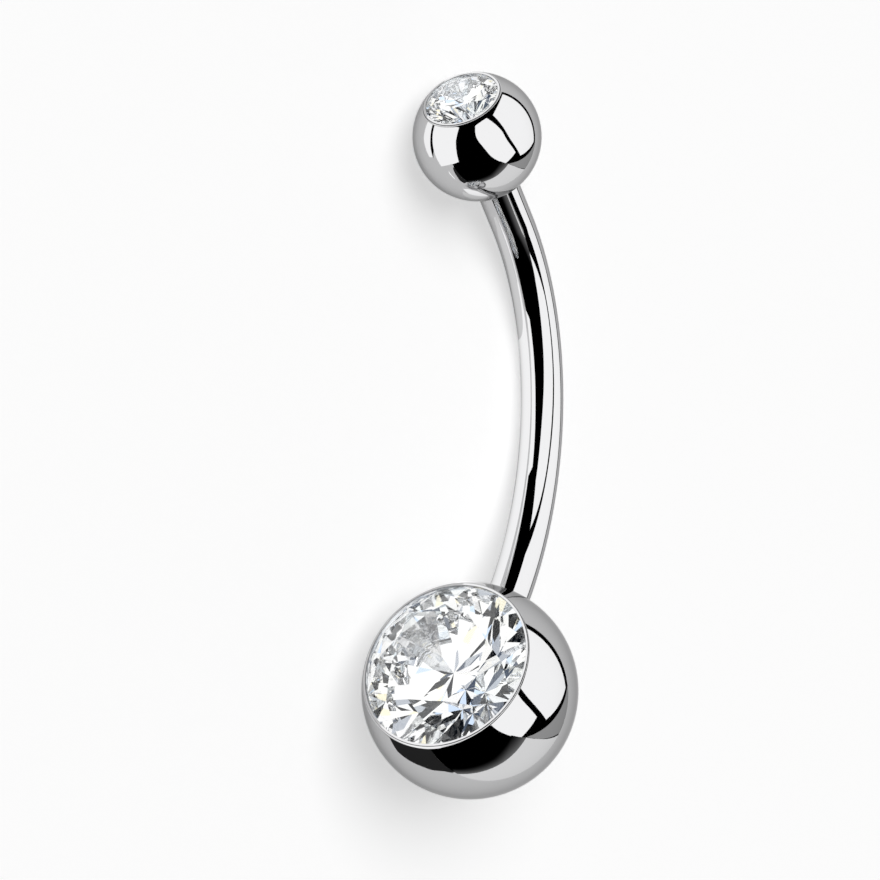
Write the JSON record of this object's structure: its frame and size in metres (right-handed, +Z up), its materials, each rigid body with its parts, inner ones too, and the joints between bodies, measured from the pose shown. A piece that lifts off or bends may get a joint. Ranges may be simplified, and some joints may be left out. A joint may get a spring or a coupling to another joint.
{
  "type": "navel ring",
  "caption": "Curved bar with a large stone-set ball fixed on its lower end and a small stone-set ball that screws into its upper end.",
  "frame": {"origin": "on the surface that the ring lies on, under the middle of its box", "axes": "+Z up from the surface; +X level, from the top ball towards the bottom ball; +Y level, towards the back of the curve, so the stones face towards -Y"},
  "size_m": [0.0266, 0.0096, 0.008],
  "materials": {
    "polished_bar": "mirror-polished titanium",
    "polished_ball": "mirror-polished titanium",
    "clear_stone": "colourless cubic zirconia, cut and polished as a round brilliant"
  },
  "bodies": {
    "bar": {"bar": "polished_bar", "bottom_ball": "polished_ball", "bottom_stone": "clear_stone"},
    "top_ball": {"top_ball": "polished_ball", "top_stone": "clear_stone"}
  },
  "joints": [
    {"name": "ball_off", "type": "slide", "parent": "bar", "child": "top_ball", "axis": [-0.7743, -0.5942, 0.2178], "range_m": [0, 0.006]}
  ]
}
